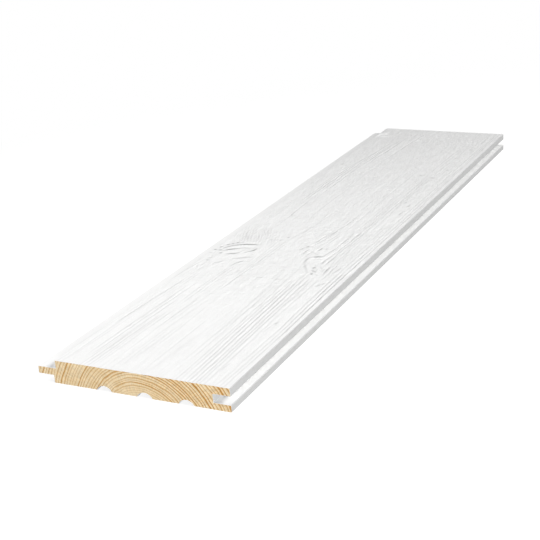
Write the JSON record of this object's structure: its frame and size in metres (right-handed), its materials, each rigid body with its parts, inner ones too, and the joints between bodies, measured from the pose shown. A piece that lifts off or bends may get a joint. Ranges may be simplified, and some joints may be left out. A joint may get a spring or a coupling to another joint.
{
  "type": "tongue and groove board",
  "caption": "Flat softwood panelling board with a tongue along one edge, a matching groove along the other and round relief channels in its back, painted white with the grain in relief.",
  "frame": {"origin": "middle of the overall width (tongue tip to groove edge) and of the length, on the plane of the back", "axes": "+Y along the length, +X across the board towards the groove edge, +Z out of the face"},
  "size_m": [0.12, 0.515, 0.014],
  "materials": {
    "painted_softwood": "thin white satin paint on all long sides over brushed spruce whose grain and knots stand in relief; the two crosscut ends are bare yellow wood with growth rings"
  },
  "bodies": {
    "root": {"board": "painted_softwood"}
  },
  "joints": []
}
